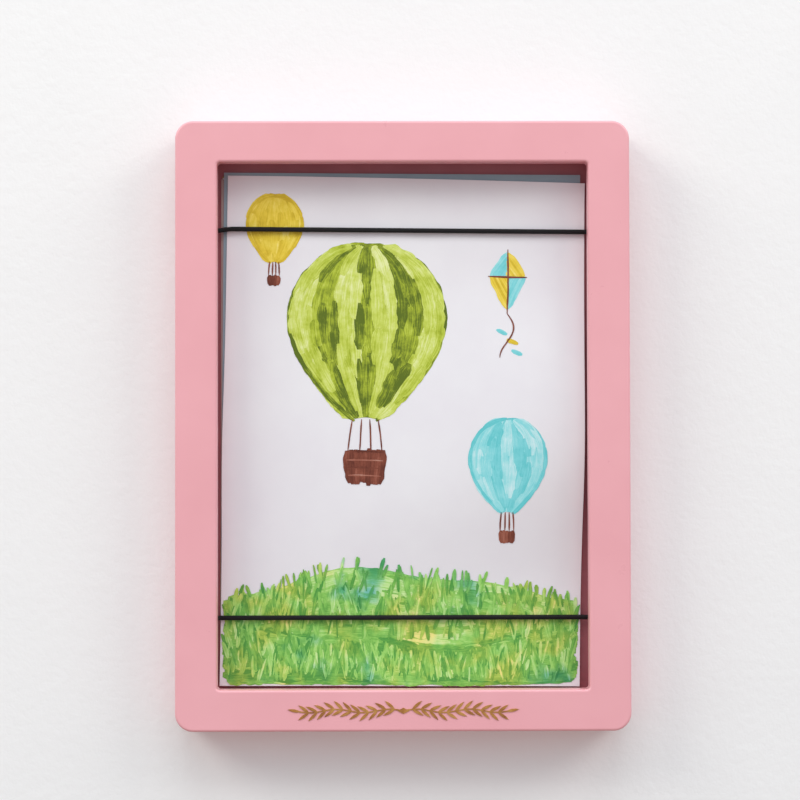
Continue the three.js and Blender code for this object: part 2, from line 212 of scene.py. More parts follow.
def paper(name, dark, light):
    """Smooth uncoated paper: faint fibres and mottling, and a soft slanting swell between the cords."""
    shader = Shader(name)
    place = shader.place("UV")
    parts = shader.parts(place)
    across = parts["X"]
    slanting = shader.math("SUBTRACT", parts["Y"], shader.math("MULTIPLY", across, 0.3))
    between = swell(shader, [(across, -0.15, 0.105), (slanting, -0.125, -0.034), (slanting, 0.088, -0.03)])
    mottle = shader.noise(place, 14.0, 4.0, 0.6)
    fibre = shader.noise(place, 900.0, 3.0, 0.7)
    clouding = shader.math("ADD", mottle, shader.math("MULTIPLY", fibre, 0.12))
    color = shader.ramp(clouding, [(0.35, dark), (0.75, light)])
    swollen = shader.bump(between, 0.008)
    normal = shader.bump(shader.math("ADD", fibre, mottle), 0.00002, 0.6, swollen)
    return shader.surface(color, 0.78, normal, specular=0.3)


def gouache(name, tones, second=None):
    """Poster paint laid on with a brush: bristle streaks along each stroke, thick and watery patches.
    tones has its colours from deep to watery, second a pair of tints that it takes on in wide patches."""
    shader = Shader(name)
    place = shader.place("UV")
    tone = shader.add("ShaderNodeAttribute", attribute_name="tone").outputs["Fac"]
    streak = shader.noise(shader.stretched(place, (0.05, 1.0, 1.0)), 1100.0, 3.0, 0.7)
    bristle = shader.noise(shader.stretched(place, (0.02, 1.0, 1.0)), 3000.0, 2.0, 0.6)
    pool = shader.noise(shader.place(), 130.0, 4.0, 0.65)
    streaks = shader.range(streak, 0.3, 0.7, -0.24, 0.24)
    value = shader.math("ADD", tone, streaks)
    value = shader.math("ADD", value, shader.range(pool, 0.3, 0.7, -0.2, 0.2))
    color = shader.ramp(value, list(zip((0.05, 0.38, 0.68, 1.0), [screen(*tone) for tone in tones])))
    if second is not None:
        patch = shader.noise(shader.place(), 34.0, 3.0, 0.6)
        color = shader.mix(shader.range(patch, 0.52, 0.66), color, second[0], "MULTIPLY")
        color = shader.mix(shader.range(patch, 0.48, 0.34), color, second[1], "MULTIPLY")
    height = shader.math("ADD", bristle, shader.math("MULTIPLY", streak, 1.5))
    normal = shader.bump(height, 0.00005, 0.75)
    return shader.surface(color, 0.62, normal, specular=0.35)


def braided_elastic(name):
    """Round elastic: a sheath of dark yarns braided at a slant both ways, with a few bright fibres; the
    yarns' crests are painted lighter and the grooves between them darker.
    """
    shader = Shader(name)
    parts = shader.parts(shader.place("UV"))
    along = shader.math("MULTIPLY", parts["X"], 900.0)
    around = shader.math("MULTIPLY", parts["Y"], 6.0)
    right = shader.math("SINE", shader.math("MULTIPLY", shader.math("ADD", along, around), 2 * math.pi))
    left = shader.math("SINE", shader.math("MULTIPLY", shader.math("SUBTRACT", along, around), 2 * math.pi))
    yarn = shader.math("MAXIMUM", right, left)
    fluff = shader.noise(shader.place("UV"), 4000.0, 3.0, 0.7)
    # Yarn crests painted lighter and the grooves darker, as painted highlight and shade, with random fluff
    # added
    yarn_painted_light_and_fluff = shader.math("ADD", shader.range(yarn, -0.2, 1.0, 0.0, 0.7), shader.math("MULTIPLY", fluff, 0.3))
    color = shader.ramp(yarn_painted_light_and_fluff, [(0.1, screen(2, 2, 4)), (0.6, screen(9, 9, 12)), (0.95, screen(24, 23, 27))])
    normal = shader.bump(shader.math("ADD", yarn, fluff), 0.00012, 0.8)
    return shader.surface(color, 0.6, normal, specular=0.25, sheen=0.03)


def metal(name, dark, light, rough_low, rough_high, grain):
    """Plated metal: soft clouding of its tint and fine marks of tumbling."""
    shader = Shader(name)
    place = shader.place()
    cloud = shader.noise(place, grain, 4.0, 0.6)
    marks = shader.noise(place, grain * 9, 2.0, 0.6)
    color = shader.ramp(cloud, [(0.3, dark), (0.7, light)])
    normal = shader.bump(marks, 0.00001, 0.6, shader.soft_edges(0.00025))
    rough = shader.range(cloud, 0.3, 0.7, rough_low, rough_high)
    return shader.surface(color, rough, normal, metallic=1.0)


def gilt(name):
    """Brown gold transfer with thin and worn patches."""
    shader = Shader(name)
    place = shader.place()
    cloud = shader.noise(place, 160.0, 4.0, 0.65)
    tints = [(0.25, screen(140, 84, 46)), (0.5, screen(180, 124, 62)), (0.8, screen(216, 166, 98))]
    color = shader.ramp(cloud, tints)
    normal = shader.bump(shader.noise(place, 2200.0, 2.0), 0.00002, 0.7, shader.soft_edges(0.00012))
    rough = shader.range(cloud, 0.3, 0.7, 0.3, 0.5)
    return shader.surface(color, rough, normal, metallic=0.45)


def panel_finish(name, parting_y):
    """Hardboard: pink paint on the face towards the front, darkened well below the frame's pink as painted
    shade for the recess, and bare brown board with a pressed mesh behind.
    """
    shader = Shader(name)
    place = shader.place()
    parts = shader.parts(place)
    behind = shader.math("GREATER_THAN", parts["Y"], parting_y)
    speckle = shader.noise(place, 700.0, 4.0, 0.75)
    cloud = shader.noise(place, 30.0, 4.0, 0.6)
    # The front's pink is darker than the frame's: painted shade for the recess behind the sheets
    rose = shader.ramp(cloud, [(0.3, screen(152, 86, 94)), (0.7, screen(166, 99, 107))])
    fibre = shader.math("ADD", shader.math("MULTIPLY", speckle, 0.7), shader.math("MULTIPLY", cloud, 0.3))
    browns = [(0.3, screen(96, 66, 42)), (0.55, screen(137, 99, 66)), (0.8, screen(170, 131, 92))]
    brown = shader.ramp(fibre, browns)
    mesh_pitch = 0.0016
    weave = [
        shader.math("SINE", shader.math("MULTIPLY", parts[axis], 2 * math.pi / mesh_pitch))
        for axis in ("X", "Z")
    ]
    pressed = shader.math("MULTIPLY", shader.math("MULTIPLY", weave[0], weave[1]), behind)
    height = shader.math("ADD", pressed, speckle)
    normal = shader.bump(height, 0.00006, 0.8)
    color = shader.mix(behind, rose, brown)
    rough = shader.range(behind, 0.0, 1.0, 0.5, 0.82)
    return shader.surface(color, rough, normal)


pink_paint = satin_paint("pink_satin_paint", screen(233, 164, 172), screen(237, 169, 177))
zinc_plate = metal("zinc_plate", screen(150, 152, 158), screen(190, 192, 196), 0.24, 0.42, 240.0)
screw_zinc = metal("screw_zinc", screen(140, 142, 146), screen(184, 186, 188), 0.22, 0.36, 900.0)
sleeve_brass = metal("sleeve_brass", screen(150, 116, 58), screen(190, 154, 88), 0.26, 0.42, 700.0)
elastic_sheath = braided_elastic("braided_black_elastic")
gold_transfer = gilt("brown_gold_transfer")
white_paper = paper("white_paper", screen(226, 220, 226), screen(232, 228, 232))
# White paper coloured a dim rose grey: painted shade for the deep gap at the edge of the stack
white_paper_in_painted_shade = paper("white_paper_in_painted_shade", screen(160, 139, 135), screen(172, 151, 147))
# Blue-grey paper, its tone darkened below its own as painted shade for the strip it shows at the top of the
# stack
blue_grey_paper = paper("blue_grey_paper", screen(130, 150, 162), screen(146, 166, 176))
olive_paper = paper("olive_paper", screen(150, 136, 56), screen(176, 160, 76))
PAINT_DEPTH = 0.0003
panel_board = panel_finish("panel_board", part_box("back_panel")[0].y + PAINT_DEPTH)

leaf_green = gouache("leaf_green_gouache", [(88, 106, 14), (172, 186, 48), (202, 213, 98), (228, 232, 166)])
meadow_green = gouache(
    "meadow_green_gouache",
    [(78, 150, 62), (122, 184, 80), (154, 208, 104), (200, 228, 156)],
    second=((0.3, 0.66, 1.25, 1.0), (1.45, 0.95, 0.72, 1.0)),
)
turquoise = gouache("turquoise_gouache", [(98, 196, 202), (128, 210, 216), (158, 220, 224), (204, 232, 236)])
yellow = gouache("yellow_gouache", [(204, 170, 34), (226, 196, 56), (236, 210, 88), (244, 230, 156)])
brown = gouache("brown_gouache", [(92, 38, 24), (130, 66, 48), (156, 92, 74), (192, 146, 130)])

# Meshes


def mesh_object(name, vertices, faces, material, uvs=None, tones=None, smooth=True):
    """A mesh in the row frame. uvs has one pair per vertex, tones one number per vertex."""
    mesh = bpy.data.meshes.new(name)
    mesh.from_pydata([tuple(v) for v in vertices], [], faces)
    mesh.polygons.foreach_set("use_smooth", [smooth] * len(mesh.polygons))
    if uvs is not None:
        corners = np.zeros(len(mesh.loops), np.int32)
        mesh.loops.foreach_get("vertex_index", corners)
        layer = mesh.uv_layers.new(name="UVMap")
        layer.data.foreach_set("uv", np.asarray(uvs, np.float32)[corners].ravel())
    if tones is not None:
        mesh.attributes.new("tone", "FLOAT", "POINT").data.foreach_set("value", np.asarray(tones, np.float32))
    mesh.materials.append(material)
    obj = bpy.data.objects.new(name, mesh)
    bpy.context.scene.collection.objects.link(obj)
    return obj


def band(first, second, around):
    """Faces between two closed rings of points, each known by the place of its first point."""
    faces = []
    for step in range(around):
        beside = (step + 1) % around
        faces.append((first + step, first + beside, second + beside, second + step))
    return faces


def rounded_loop(half_width, half_height, radius, depth, steps):
    """Points round a rectangle with rounded corners, counter-clockwise from the right."""
    corners = [(1, 1), (-1, 1), (-1, -1), (1, -1)]
    loop = []
    for quarter, (side, rise) in enumerate(corners):
        for step in range(steps + 1):
            angle = (quarter + step / steps) * math.pi / 2
            x = side * (half_width - radius) + radius * math.cos(angle)
            z = rise * (half_height - radius) + radius * math.sin(angle)
            loop.append(at(x, depth, z))
    return loop


def ring_through(loops):
    """Vertices and faces of a ring whose section runs through the loops and closes on itself."""
    around = len(loops[0])
    vertices = [point for loop in loops for point in loop]
    faces = []
    for row in range(len(loops)):
        below = (row + 1) % len(loops)
        faces.extend(band(row * around, below * around, around))
    return vertices, faces


def fascia_loops():
    """The fascia's section: eased front edges, slightly eased back edges, and flat faces held flat."""
    steps = 10
    back_ease = 0.3
    hold = 0.12
    round_over = []
    for step in range(steps + 1):
        angle = step / steps * math.pi / 2
        round_over.append((EDGE_ROUNDING * (1 - math.cos(angle)), EDGE_ROUNDING * (1 - math.sin(angle))))
    side = [
        (back_ease + hold, FASCIA_THICKNESS),
        (back_ease, FASCIA_THICKNESS),
        (0, FASCIA_THICKNESS - back_ease),
        (0, FASCIA_THICKNESS - back_ease - hold),
        (0, EDGE_ROUNDING + hold),
    ]
    section = side + round_over + [(EDGE_ROUNDING + hold, 0)]
    corner_steps = 24
    outer = []
    for inset, depth in section:
        half_width = FRAME_WIDTH / 2 - inset
        half_height = FRAME_HEIGHT / 2 - inset
        radius = max(OUTER_CORNER_RADIUS - inset, 1)
        outer.append(rounded_loop(half_width, half_height, radius, depth, corner_steps))
    inner = []
    for inset, depth in reversed(section):
        half_width = OPENING_WIDTH / 2 + inset
        half_height = OPENING_HEIGHT / 2 + inset
        radius = OPENING_CORNER_RADIUS + inset
        inner.append(rounded_loop(half_width, half_height, radius, depth, corner_steps))
    return outer + inner


def build_fascia():
    """The front board: one ring with rounded corners and eased edges."""
    vertices, faces = ring_through(fascia_loops())
    fascia = mesh_object("fascia_board", vertices, faces, pink_paint)
    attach(fascia, "frame")
    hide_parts("front_fascia")


# The paper sheets, each with its own place, turn and share of the bulge


def grid_border(up, across):
    """Places of a grid round its edge, in order."""
    bottom = [(0, column) for column in range(across)]
    right = [(row, across) for row in range(up)]
    top = [(up, column) for column in range(across, 0, -1)]
    left = [(row, 0) for row in range(up, 0, -1)]
    return bottom + right + top + left


class Sheet:
    """A sheet of A4 paper on the stack, drawn on in its own millimetres from its middle."""

    def __init__(self, node, body, slack):
        self.node = node
        self.body = body
        self.front = (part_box(node)[0].y - FRONT_Y) * 1000
        corners = [(v.co.x * 1000, (v.co.z - MIDDLE_Z) * 1000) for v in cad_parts[node].data.vertices]
        top_left = max(corners, key=lambda corner: corner[1] - corner[0])
        top_right = max(corners, key=lambda corner: corner[1] + corner[0])
        foot_left = min(corners, key=lambda corner: corner[1] + corner[0])
        foot_right = min(corners, key=lambda corner: corner[1] - corner[0])
        self.turn = math.atan2(top_left[1] - top_right[1], top_right[0] - top_left[0])
        sine = math.sin(self.turn)
        cosine = math.cos(self.turn)
        self.x = (top_left[0] + top_right[0]) / 2 - SHEET_HEIGHT / 2 * sine
        self.z = (top_left[1] + top_right[1]) / 2 - SHEET_HEIGHT / 2 * cosine
        across = foot_right[0] - foot_left[0]
        rise = foot_right[1] - foot_left[1]
        self.foot_rise = across * sine + rise * cosine
        self.slack = slack
        self.trim = 1.0 if node == "artwork_sheet" else 0.0

    def lift(self, u, v):
        """How far the paper stands forward of its flat place, between the cords and past them."""
        share = np.clip((v - HELD_BELOW) / (HELD_ABOVE - HELD_BELOW), 0, 1)
        belly = np.sin(np.pi * share)
        bulge = 0.34 * belly * (1 + 0.35 * np.cos(np.pi * u / 80 + 0.5))
        cockle = 0.2 * belly * (1 + np.sin(u / 11 + 0.9 * np.sin(v / 37) + 1.3))
        hollow = 0.1 * (1 - belly) * (1 + np.sin(u / 9 + 1.1 * np.sin(u / 23)))
        over = np.clip((v - HELD_ABOVE) / 33, 0, 1)
        under = np.clip((HELD_BELOW - v) / 38, 0, 1)
        right_share = 0.5 + u / SHEET_WIDTH
        top_curl = over**2 * (0.2 + 0.6 * right_share**2)
        foot_curl = 1.5 * under**2 * (1 + 0.3 * np.sin(u / 17 + 1))
        edge_curl = 4.0 * belly**2 * np.clip((u + 5) / 110, 0, 1) ** 2
        return self.slack * (bulge + cockle - hollow + top_curl + foot_curl + edge_curl)

    def cut(self, u, v):
        """How far the front sheet's hand-trimmed edges stand out from A4, to the right and up."""
        share = u / (SHEET_WIDTH / 2)
        belly = 1.1 * np.exp(-(((v + 10) / 50) ** 2))
        right = (0.8 + belly - 0.5 * np.clip((v - 60) / 75, 0, 1)) * np.clip((u - 85) / 20, 0, 1)
        left = -0.9 * np.exp(-(((v + 12) / 45) ** 2)) * np.clip((-u - 85) / 20, 0, 1)
        foot = -0.6 * np.clip((-v - 128) / 20, 0, 1)
        top = (0.6 * (1 - share**2) - 0.75 * share) * np.clip((v - 128) / 20, 0, 1)
        return self.trim * (right + left), self.trim * (foot + top)

    def point(self, u, v, proud=0.0):
        """Places in the row frame of points on the paper, standing proud of it by so many millimetres."""
        u = np.asarray(u, float)
        v = np.asarray(v, float)
        right, up = self.cut(u, v)
        v = v + self.foot_rise * u / SHEET_WIDTH * (0.5 - v / SHEET_HEIGHT) + up
        u = u + right
        x = self.x + u * math.cos(self.turn) + v * math.sin(self.turn)
        z = self.z - u * math.sin(self.turn) + v * math.cos(self.turn)
        depth = self.front - self.lift(u, v) - proud
        return np.stack([x / 1000, FRONT_Y + depth / 1000, MIDDLE_Z + z / 1000], axis=-1)

    def build(self, name, material, slot, cell):
        """The sheet as a thin closed body with crisp edges, on a grid of cells of about the given size."""
        across = int(SHEET_WIDTH / cell)
        up = int(SHEET_HEIGHT / cell)
        u, v = np.meshgrid(
            np.linspace(-SHEET_WIDTH / 2, SHEET_WIDTH / 2, across + 1),
            np.linspace(-SHEET_HEIGHT / 2, SHEET_HEIGHT / 2, up + 1),
        )
        u = u.ravel()
        v = v.ravel()
        vertices = np.concatenate([self.point(u, v), self.point(u, v, -SHEET_THICKNESS)])
        uvs = np.concatenate([np.stack([u, v], axis=-1)] * 2) / 1000
        count = (across + 1) * (up + 1)
        wide = across + 1
        faces = []
        for row in range(up):
            for column in range(across):
                a = row * wide + column
                faces.append((a, a + 1, a + 1 + wide, a + wide))
                faces.append((count + a + wide, count + a + 1 + wide, count + a + 1, count + a))
        border = [row * wide + column for row, column in grid_border(up, across)]
        for k, a in enumerate(border):
            b = border[(k + 1) % len(border)]
            faces.append((b, a, count + a, count + b))
        sheet = mesh_object(name, vertices, faces, material, uvs=uvs)
        sheet.data.set_sharp_from_angle(angle=math.radians(40))
        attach(sheet, self.body)
        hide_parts(self.node)


# Brush strokes

STROKE_LEVELS = 240
LEVEL_RISE = 0.0004


def run_along(path):
    """The distance run along a path at each of its points."""
    return np.concatenate([[0], np.cumsum(np.linalg.norm(np.diff(path, axis=0), axis=1))])


def refined(path):
    """The same path in steps of about 1.6 mm."""
    path = np.asarray(path, float)
    run = run_along(path)
    places = np.linspace(0, run[-1], max(5, int(run[-1] / 1.6)))
    return np.stack([np.interp(places, run, path[:, 0]), np.interp(places, run, path[:, 1])], axis=1)


class Painting:
    """Strokes of one pigment on a sheet, gathered in one mesh."""

    def __init__(self, sheet, seed, base):
        self.sheet = sheet
        self.chance = random.Random(seed)
        self.base = base
        self.count = 0
        self.vertices = []
        self.faces = []
        self.uvs = []
        self.tones = []

    def proud(self):
        """Height over the paper of the next stroke, so that strokes that cross hardly ever share a plane."""
        self.count += 1
        return self.base + (self.count % STROKE_LEVELS) * LEVEL_RISE

    def wobble(self, count, reach):
        """Small smooth wanderings of a stroke's edge."""
        steps = [self.chance.uniform(-reach, reach) for _ in range(count + 2)]
        return np.array([(steps[k] + 2 * steps[k + 1] + steps[k + 2]) / 3 for k in range(count)])

    def stroke(self, path, width, tone, ragged=0.12):
        """A stroke along a path of points, width in millimetres at its widest."""
        path = refined(path)
        along = np.gradient(path, axis=0)
        along /= np.linalg.norm(along, axis=1)[:, None] + 1e-9
        side = np.stack([-along[:, 1], along[:, 0]], axis=1)
        share = np.linspace(0, 1, len(path))
        taper = np.minimum(1, 0.45 + 3.2 * np.minimum(share, 1 - share))
        run = run_along(path)
        shift = self.chance.uniform(0, 50)
        first = len(self.vertices)
        proud = self.proud()
        rails = []
        for place in (-0.5, -0.17, 0.17, 0.5):
            wobble = self.wobble(len(path), ragged)
            edge = 1 if abs(place) > 0.4 else 0.3
            rails.append(path + side * (width * taper * (place + wobble * edge))[:, None])
        for place, rail in zip((0, 0.33, 0.67, 1), rails):
            crown = 0.012 if 0.1 < place < 0.9 else 0.0
            self.vertices.extend(self.sheet.point(rail[:, 0], rail[:, 1], proud + crown))
            self.uvs.extend(zip((run + shift) / 1000, np.full(len(path), (place * width + shift) / 1000)))
            self.tones.extend([tone + self.chance.uniform(-0.04, 0.04)] * len(path))
        length = len(path)
        for lane in range(3):
            for k in range(length - 1):
                a = first + lane * length + k
                b = a + length
                self.faces.append((a, a + 1, b + 1, b))

    def build(self, name, material):
        """The strokes laid so far as one piece that rides with the sheet."""
        strokes = mesh_object(name, self.vertices, self.faces, material, uvs=self.uvs, tones=self.tones)
        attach(strokes, self.sheet.body)


# Share of a balloon's envelope at which it is widest, from its mouth at 0 to its crown at 1
SHOULDER = 0.58

# The painting's motifs: middle, mouth, crown and half width of each balloon, and where the kite's spars cross
GREEN_BALLOON = (-22, 6, 110, 47)
TURQUOISE_BALLOON = (62, -48, 8, 23)
YELLOW_BALLOON = (-77, 98, 138, 17)
KITE = (60.5, 92)
KITE_HALF_WIDTH = 12
KITE_RISE = 17
KITE_DROP = 23
MEADOW_FOOT = 0.5 - SHEET_HEIGHT / 2
WHITE_MARGIN = 1.0


def balloon_half_width(share, widest):
    """Half the width of a balloon's envelope, from its mouth at 0 to its crown at 1."""
    if share >= SHOULDER:
        return widest * math.sqrt(max(0, 1 - ((share - SHOULDER) / (1 - SHOULDER)) ** 2))
    return widest * (0.16 + 0.84 * math.sin(math.pi / 2 * share / SHOULDER) ** 0.9)


def paint_envelope(paint, x, mouth, crown, widest, gores, width, tone_of, count):
    """A balloon's envelope: a first coat, then strokes along its gores."""
    chance = paint.chance
    lanes = math.ceil(2 * widest / (width * 0.7))
    for lane in range(lanes):
        gore = 1.88 * lane / (lanes - 1) - 0.94
        path = []
        for step in range(25):
            share = 0.02 + 0.965 * step / 24
            half = balloon_half_width(share, widest) - width * 0.4
            path.append((x + gore * half, mouth + (crown - mouth) * share))
        paint.stroke(path, width, tone_of(math.floor((gore + 1) / 2 * gores), 0.5), 0.03)
    for _ in range(count):
        gore = chance.uniform(-0.96, 0.96)
        start = chance.uniform(-0.12, 0.86)
        end = start + chance.uniform(0.14, 0.42)
        path = []
        for step in range(11):
            share = min(max(start + (end - start) * step / 10, 0.02), 0.985)
            half = balloon_half_width(share, widest) - width * 0.3
            path.append((x + gore * half, mouth + (crown - mouth) * share))
        if path[-1][1] - path[0][1] < width:
            continue
        stripe = math.floor((gore + 1) / 2 * gores)
        paint.stroke(path, width * chance.uniform(0.75, 1.15), tone_of(stripe, start))


def paint_outline(paint, x, mouth, crown, widest, width, tone):
    """A broken line of strokes round a balloon's envelope."""
    for side in (-1, 1):
        for first in (0.0, 0.22, 0.45, 0.68, 0.88):
            path = []
            for step in range(13):
                share = min(first + 0.27 * step / 12, 0.999)
                half = balloon_half_width(share, widest) - width * 0.35
                path.append((x + side * half, mouth + (crown - mouth) * share))
            paint.stroke(path, width * paint.chance.uniform(0.8, 1.1), tone + paint.chance.uniform(-0.1, 0.1))
    shoulder = mouth + (crown - mouth) * SHOULDER
    reach = widest - width * 0.35
    rise = crown - shoulder - width * 0.35
    for first in (50, 84):
        path = []
        for step in range(13):
            angle = math.radians(first + 48 * step / 12)
            path.append((x + reach * math.cos(angle), shoulder + rise * math.sin(angle)))
        paint.stroke(path, width, tone + paint.chance.uniform(-0.1, 0.1))


def paint_line(paint, start, end, width, tone, bend=0.0):
    """A plain stroke from one point to another, bowed a little to its left."""
    path = []
    for step in range(11):
        share = step / 10
        bow = bend * math.sin(math.pi * share)
        x = start[0] + (end[0] - start[0]) * share - bow * (end[1] - start[1]) / 30
        z = start[1] + (end[1] - start[1]) * share + bow * (end[0] - start[0]) / 30
        path.append((x, z))
    paint.stroke(path, width, tone)


def paint_block(paint, left, right, bottom, top, width, tone_low, tone_high, pinch=0.0):
    """A patch filled with upright strokes; pinch draws its foot in."""
    chance = paint.chance
    lanes = max(2, round((right - left) / (width * 0.55)))
    for k in range(lanes):
        share = (k + 0.5) / lanes
        x = left + (right - left) * share
        foot = (left + right) / 2 + (x - (left + right) / 2) * (1 - pinch)
        drop = chance.uniform(-0.06, 0.06) * (top - bottom)
        tone = chance.uniform(tone_low, tone_high)
        paint_line(paint, (x, top - drop), (foot, bottom + drop), width, tone)


def hill_crest(x, middle, height, wave, phase):
    """Height of a hill's crest at x: a long wave with a shorter one on it."""
    angle = x / wave
    return middle + height * (math.sin(angle + phase) + 0.35 * math.sin(angle * 2.3 + phase * 2))


def paint_hill(paint, crest_of, bottom, width, tone_low, tone_high, count):
    """A hill filled with strokes that follow its crest, within the paper's white margin."""
    chance = paint.chance
    reach = SHEET_WIDTH / 2 - WHITE_MARGIN
    for share in np.linspace(0, 1, 14):
        path = []
        for px in np.linspace(3.5 - reach, reach - 3.5, 60):
            top = crest_of(px) - width * 0.6
            foot = bottom + width * 0.5
            path.append((px, top + (foot - top) * share))
        paint.stroke(path, width * 0.95, (tone_low + tone_high) / 2, 0.06)
    for _ in range(count):
        x = chance.uniform(-reach - 20, reach - 6)
        length = chance.uniform(14, 42)
        left = max(x, -reach + chance.uniform(0, 3.5))
        right = min(x + length, reach - chance.uniform(0, 3.5))
        if right - left < 7:
            continue
        share = chance.random()
        path = []
        for step in range(11):
            px = left + (right - left) * step / 10
            top = crest_of(px) - width * 0.55
            foot = bottom + width * 0.45
            path.append((px, top + (foot - top) * share))
        tone = chance.uniform(tone_low, tone_high) - 0.12 * share
        if chance.random() < 0.14:
            tone += 0.3
        paint.stroke(path, width * chance.uniform(0.6, 1.1), tone, 0.16)


def paint_quarter(paint, middle, side, tip, width, tone_low, tone_high):
    """One quarter of a kite: strokes along its outer edge, from its cross spar to its upright."""
    depth = abs(side * tip) / math.hypot(side, tip)
    lanes = math.ceil(depth / (width * 0.5))
    for k in range(lanes):
        share = (width / 2 + (depth - width) * k / (lanes - 1)) / depth
        start = (middle[0] + side * share, middle[1])
        end = (middle[0], middle[1] + tip * share)
        paint_line(paint, start, end, width, paint.chance.uniform(tone_low, tone_high))


def paint_tufts(paint, crest_of, bottom, count, over=0):
    """Short blades dabbed over a meadow, the topmost of them standing over its crest."""
    chance = paint.chance
    reach = SHEET_WIDTH / 2 - 3
    for _ in range(count):
        x = chance.uniform(-reach, reach)
        length = chance.uniform(6, 15)
        low = bottom + 2 + (crest_of(x) + over - length - bottom - 5) * chance.random()
        lean = chance.uniform(-0.4, 0.4)
        tip = (x + lean * length, low + length)
        paint_line(paint, (x, low), tip, chance.uniform(1.0, 2.4), chance.uniform(0.08, 0.84), lean)


def far_crest(x):
    return hill_crest(x, -88, 7.5, 34, 1.9)


def near_crest(x):
    return hill_crest(x, -116, 7, 41, 4.4)


def paint_meadow(sheet):
    """Two hills of grass, one before the other, and blades over both."""
    hills = Painting(sheet, seed=11, base=0.05)
    paint_hill(hills, far_crest, -132, width=6, tone_low=0.4, tone_high=0.86, count=560)
    near = Painting(sheet, seed=12, base=0.16)
    paint_hill(near, near_crest, MEADOW_FOOT, width=6.5, tone_low=0.12, tone_high=0.62, count=560)
    blades = Painting(sheet, seed=13, base=0.27)
    paint_tufts(blades, far_crest, -125, count=480, over=9)
    paint_tufts(blades, near_crest, MEADOW_FOOT, count=520)
    hills.build("painted_far_meadow", meadow_green)
    near.build("painted_near_meadow", meadow_green)
    blades.build("painted_blades", meadow_green)


def paint_green_balloon(sheet):
    """The large balloon, whose gores are dark and light in turn."""
    big = Painting(sheet, seed=21, base=0.05)

    def gore_tone(stripe, start):
        return (0.2 if stripe % 2 else 0.62) + big.chance.uniform(-0.14, 0.16) - 0.1 * (0.5 - start)

    paint_envelope(big, *GREEN_BALLOON, gores=7, width=7, tone_of=gore_tone, count=460)
    paint_outline(big, *GREEN_BALLOON, width=3.4, tone=0.12)
    big.build("painted_green_envelope", leaf_green)


def paint_kite_half(paint, side):
    """Two quarters of the kite that meet at its middle, one above the cross spar and one below it."""
    paint_quarter(paint, KITE, side * KITE_HALF_WIDTH, KITE_RISE, 3.6, 0.2, 0.6)
    paint_quarter(paint, KITE, -side * KITE_HALF_WIDTH, -KITE_DROP, 3.6, 0.2, 0.6)


def paint_turquoise_shapes(sheet):
    """The low balloon, half of the kite and two bows on its tail."""
    sky = Painting(sheet, seed=31, base=0.05)

    def sky_tone(stripe, start):
        return (0.3 if stripe % 2 else 0.62) + sky.chance.uniform(-0.16, 0.2)

    paint_envelope(sky, *TURQUOISE_BALLOON, gores=5, width=4.6, tone_of=sky_tone, count=220)
    paint_outline(sky, *TURQUOISE_BALLOON, width=2.4, tone=0.16)
    paint_kite_half(sky, -1)
    for x, z in ((57.5, 59), (66.5, 47)):
        paint_line(sky, (x - 3.2, z + 1.4), (x + 3.2, z - 1.2), 2.6, 0.35)
    sky.build("painted_turquoise_shapes", turquoise)


def paint_yellow_shapes(sheet):
    """The small high balloon, half of the kite and one bow on its tail."""
    warm = Painting(sheet, seed=41, base=0.05)

    def warm_tone(stripe, start):
        return 0.42 + warm.chance.uniform(-0.2, 0.2)

    paint_envelope(warm, *YELLOW_BALLOON, gores=4, width=4.6, tone_of=warm_tone, count=200)
    paint_outline(warm, *YELLOW_BALLOON, width=2.2, tone=0.2)
    paint_kite_half(warm, 1)
    paint_line(warm, (60.5, 54.6), (67.2, 52.2), 2.6, 0.4)
    warm.build("painted_yellow_shapes", yellow)


def paint_brown_lines(sheet):
    """Ropes and baskets of the balloons, and the spars and tail of the kite."""
    lines = Painting(sheet, seed=51, base=0.17)
    # Middle of each balloon's ropes, their top, half their spread above and below, and their foot
    ropes = [(-22, 7, 7.5, 10, -12), (62, -47, 3.4, 4, -58), (-77, 99, 2.6, 3.2, 91)]
    for x, mouth, half, basket, low in ropes:
        for side in (-1, -0.3, 0.35, 1):
            paint_line(lines, (x + side * half, mouth), (x + side * basket, low), 0.9, 0.3, side * 0.4)
    paint_block(lines, -34, -10, -31, -11, 5.0, 0.1, 0.5, 0.2)
    for z, tone in ((-12, 0.1), (-17, 0.7), (-21.5, 0.2), (-26, 0.66)):
        inset = (-11 - z) * 0.12
        paint_line(lines, (-33.5 + inset, z), (-10.5 - inset, z - 0.4), 1.8, tone, 0.4)
    paint_block(lines, 57.6, 66.4, -65, -58, 3.2, 0.1, 0.5, 0.2)
    paint_block(lines, -80.4, -73.6, 85, 91, 2.8, 0.1, 0.5, 0.2)
    middle, height = KITE
    foot = height - 22
    paint_line(lines, (middle, height + 16), (middle, foot), 1.0, 0.3, 0.3)
    paint_line(lines, (middle - 11.5, height), (middle + 11.5, height - 0.4), 1.0, 0.3, -0.3)
    tail = [(middle + 4 * math.sin(drop / 5.4), foot - drop) for drop in range(0, 28, 2)]
    lines.stroke(tail, 0.9, 0.35)
    lines.build("painted_brown_lines", brown)


def paint_picture(sheet):
    """A meadow with three hot-air balloons over it and a kite."""
    paint_meadow(sheet)
    paint_green_balloon(sheet)
    paint_turquoise_shapes(sheet)
    paint_yellow_shapes(sheet)
    paint_brown_lines(sheet)


